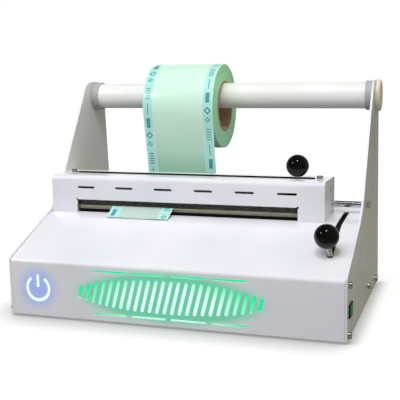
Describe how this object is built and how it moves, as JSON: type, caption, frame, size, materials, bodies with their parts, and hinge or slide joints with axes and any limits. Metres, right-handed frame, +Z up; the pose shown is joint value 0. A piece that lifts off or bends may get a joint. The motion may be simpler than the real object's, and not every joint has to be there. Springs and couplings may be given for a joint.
{
  "type": "sterilization pouch sealer",
  "caption": "Benchtop heat sealer for sterilization pouch film: sloped white housing with lit front, sealing head with sliding cutter, hand lever, and a reel tube between swept side plates.",
  "frame": {"origin": "middle of the footprint at the level of the feet", "axes": "+X along the sealing head to the operator's right, +Y away from the operator, +Z up"},
  "size_m": [0.4326, 0.3139, 0.3154],
  "materials": {
    "white_coat": "glossy powder coat",
    "zinc_sheet": "zinc plated",
    "bright_steel": "polished",
    "foot_rubber": "matte",
    "jaw_aluminium": "milled",
    "drive_steel": "turned",
    "insulator": "matte",
    "green_light": "lit from behind",
    "sign_light": "lit from behind",
    "circuit_board": "satin",
    "transformer_iron": "varnished",
    "black_plastic": "fine grain",
    "ball_knob": "polished",
    "pouch_film": "smooth",
    "jaw_strip": "matte",
    "switch_green": "glossy",
    "plug_grey": "satin",
    "cap_cream": "satin",
    "cardboard": "matte"
  },
  "bodies": {
    "chassis": {"left_side_plate": "white_coat", "right_side_plate": "white_coat", "deck_cover": "white_coat", "base_plate": "zinc_sheet", "rear_panel": "white_coat", "feet": "foot_rubber", "plate_screws": "bright_steel", "head_cover": "white_coat", "left_head_end": "white_coat", "right_head_end": "white_coat", "head_screws": "bright_steel", "stay_rod": "bright_steel", "stay_nuts": "bright_steel", "heater_block": "jaw_aluminium", "heater_rods": "drive_steel", "heater_insulators": "insulator", "cutter_rail": "bright_steel", "cutter_guide": "black_plastic", "left_cam_stand": "jaw_aluminium", "right_cam_stand": "jaw_aluminium", "light_diffuser": "green_light", "icon_lens": "sign_light", "led_board": "circuit_board", "control_board": "circuit_board", "transformer": "transformer_iron", "mains_inlet": "black_plastic", "fuse_holder": "black_plastic", "switch_body": "black_plastic", "film_web": "pouch_film", "pouch": "pouch_film"},
    "lever": {"lever_rod": "bright_steel", "lever_knob": "ball_knob", "lever_hub": "drive_steel", "cam_shaft": "drive_steel", "lift_cams": "drive_steel"},
    "jaw": {"pressure_bar": "jaw_aluminium", "jaw_posts": "drive_steel", "press_strip": "jaw_strip"},
    "cutter": {"cutter_knob": "ball_knob", "cutter_stem": "bright_steel", "cutter_carriage": "black_plastic", "cutter_blade": "drive_steel"},
    "switch_rocker": {"rocker": "switch_green"},
    "tube": {"roll_tube": "white_coat", "left_tube_plug": "plug_grey", "right_tube_plug": "plug_grey", "left_end_cap": "cap_cream", "right_end_cap": "cap_cream"},
    "reel": {"reel_film": "pouch_film", "reel_core": "cardboard"}
  },
  "joints": [
    {"name": "lever_swing", "type": "hinge", "parent": "chassis", "child": "lever", "pos_m": [0.184, -0.033, 0.023], "axis": [1, 0, 0], "range_deg": [-54, 0]},
    {"name": "jaw_lift", "type": "slide", "parent": "chassis", "child": "jaw", "axis": [0, 0, 1], "range_m": [-0.0051, 0]},
    {"name": "cutter_slide", "type": "slide", "parent": "chassis", "child": "cutter", "axis": [1, 0, 0], "range_m": [-0.288, 0]},
    {"name": "rocker_tilt", "type": "hinge", "parent": "chassis", "child": "switch_rocker", "pos_m": [0.208, -0.134, 0.035], "axis": [0, 0, 1], "range_deg": [-20, 0]},
    {"name": "reel_spin", "type": "hinge", "parent": "chassis", "child": "reel", "pos_m": [-0.056, 0.097, 0.2554], "axis": [1, 0, 0], "continuous": true},
    {"name": "tube_spin", "type": "hinge", "parent": "chassis", "child": "tube", "pos_m": [0, 0.097, 0.27], "axis": [1, 0, 0], "continuous": true}
  ],
  "couplings": [
    {"joint": "jaw_lift", "follows": "lever_swing", "m_per_rad": 0.0053052},
    {"joint": "tube_spin", "follows": "reel_spin", "ratio": 1.8333}
  ]
}
